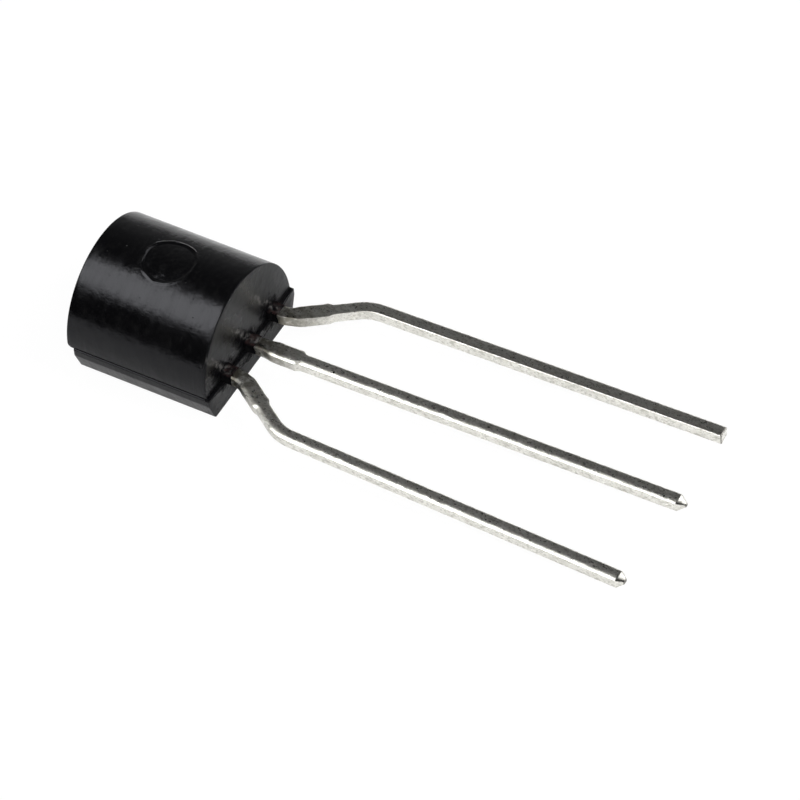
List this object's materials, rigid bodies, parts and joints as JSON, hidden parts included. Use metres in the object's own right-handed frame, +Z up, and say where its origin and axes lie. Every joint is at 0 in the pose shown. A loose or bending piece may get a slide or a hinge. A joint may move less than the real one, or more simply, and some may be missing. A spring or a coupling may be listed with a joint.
{
  "type": "to-92 transistor",
  "caption": "Small-signal transistor in a moulded D-shaped package, with leads spread to a wide pitch for a circuit board.",
  "frame": {"origin": "under the middle of the part's box, on the surface that it lies on", "axes": "+X from the body towards the lead tips, +Y across the leads towards the left lead as seen from the body with the flat side down, +Z up from the surface; the body's own frame is tipped about Y by the part's pose at rest"},
  "size_m": [0.018, 0.006, 0.0035],
  "materials": {
    "black_epoxy": "glossy black moulding compound",
    "tinned_lead": "bright tin plating on a stamped strip",
    "silicon": "polished silicon",
    "silver_epoxy": "satin silver-filled epoxy",
    "gold_wire": "bright drawn gold"
  },
  "bodies": {
    "root": {"moulded_body": "black_epoxy", "left_lead": "tinned_lead", "centre_lead": "tinned_lead", "right_lead": "tinned_lead", "die": "silicon", "die_attach": "silver_epoxy", "left_bond_wire": "gold_wire", "right_bond_wire": "gold_wire"}
  },
  "joints": []
}
